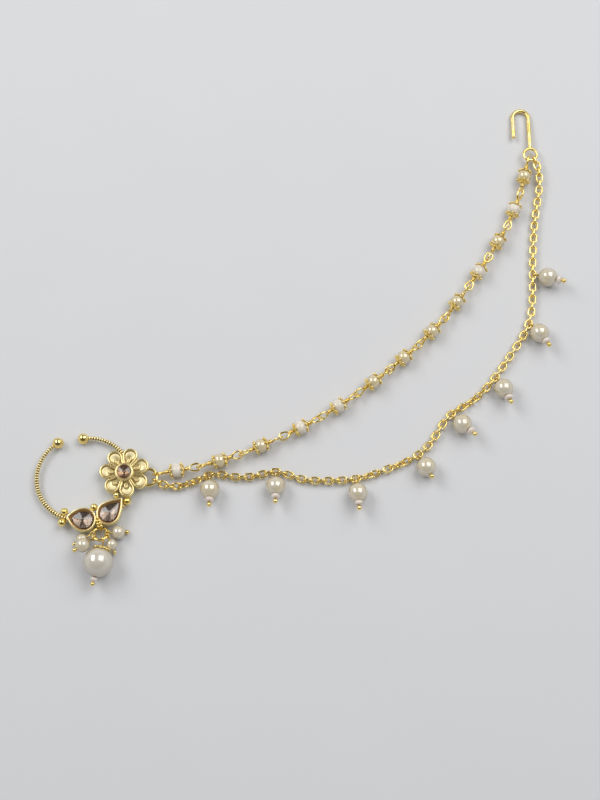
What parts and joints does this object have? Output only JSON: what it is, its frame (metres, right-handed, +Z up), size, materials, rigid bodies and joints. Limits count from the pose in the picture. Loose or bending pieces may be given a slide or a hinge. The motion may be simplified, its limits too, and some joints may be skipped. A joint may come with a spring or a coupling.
{
  "type": "nath nose ring with hair chain",
  "caption": "Open hoop nose ring with a flower, pear stones and a pearl cluster, joined by a beaded strand and a cable chain with pearl drops to a hair hook",
  "frame": {"origin": "middle of the object's box, on the floor that it lies on", "axes": "+Z up from the floor, +X along the longest side from the hoop towards the strands, +Y from the pearl cluster towards the hair hook"},
  "size_m": [0.1292, 0.123, 0.007],
  "materials": {
    "gold": "polished gold plate",
    "gold_ring": "polished gold plate with a matt antique flower",
    "stone": "faceted smoky champagne glass",
    "pearl_white": "white pearl coat",
    "pearl_cream": "cream pearl coat",
    "bead_cream": "pale cream pearl coat",
    "seed_bead": "milky white glass"
  },
  "bodies": {
    "root": {"chain_links": "gold", "cluster_cap": "gold", "cluster_pearl_a": "pearl_white", "cluster_pearl_b": "pearl_white", "cluster_pearl_c": "pearl_white", "cluster_pearl_d": "pearl_white", "cluster_pearl_large": "pearl_white", "cluster_pins": "gold", "cluster_ring": "gold", "cluster_seed": "seed_bead", "drop_pearl_1": "pearl_cream", "drop_pearl_2": "pearl_cream", "drop_pearl_3": "pearl_cream", "drop_pearl_4": "pearl_cream", "drop_pearl_5": "pearl_cream", "drop_pearl_6": "pearl_cream", "drop_pearl_7": "pearl_cream", "drop_pearl_8": "pearl_cream", "drop_pins": "gold", "drop_spacers": "seed_bead", "hair_hook": "gold", "nose_ring": "gold_ring", "stone_centre": "stone", "stone_left": "stone", "stone_right": "stone", "strand_bead_01": "bead_cream", "strand_bead_02": "bead_cream", "strand_bead_03": "bead_cream", "strand_bead_04": "bead_cream", "strand_bead_05": "bead_cream", "strand_bead_06": "bead_cream", "strand_bead_07": "bead_cream", "strand_bead_08": "bead_cream", "strand_bead_09": "bead_cream", "strand_bead_10": "bead_cream", "strand_bead_11": "bead_cream", "strand_bead_12": "bead_cream", "strand_bead_13": "bead_cream", "strand_caps": "gold", "strand_wires": "gold"}
  },
  "joints": []
}
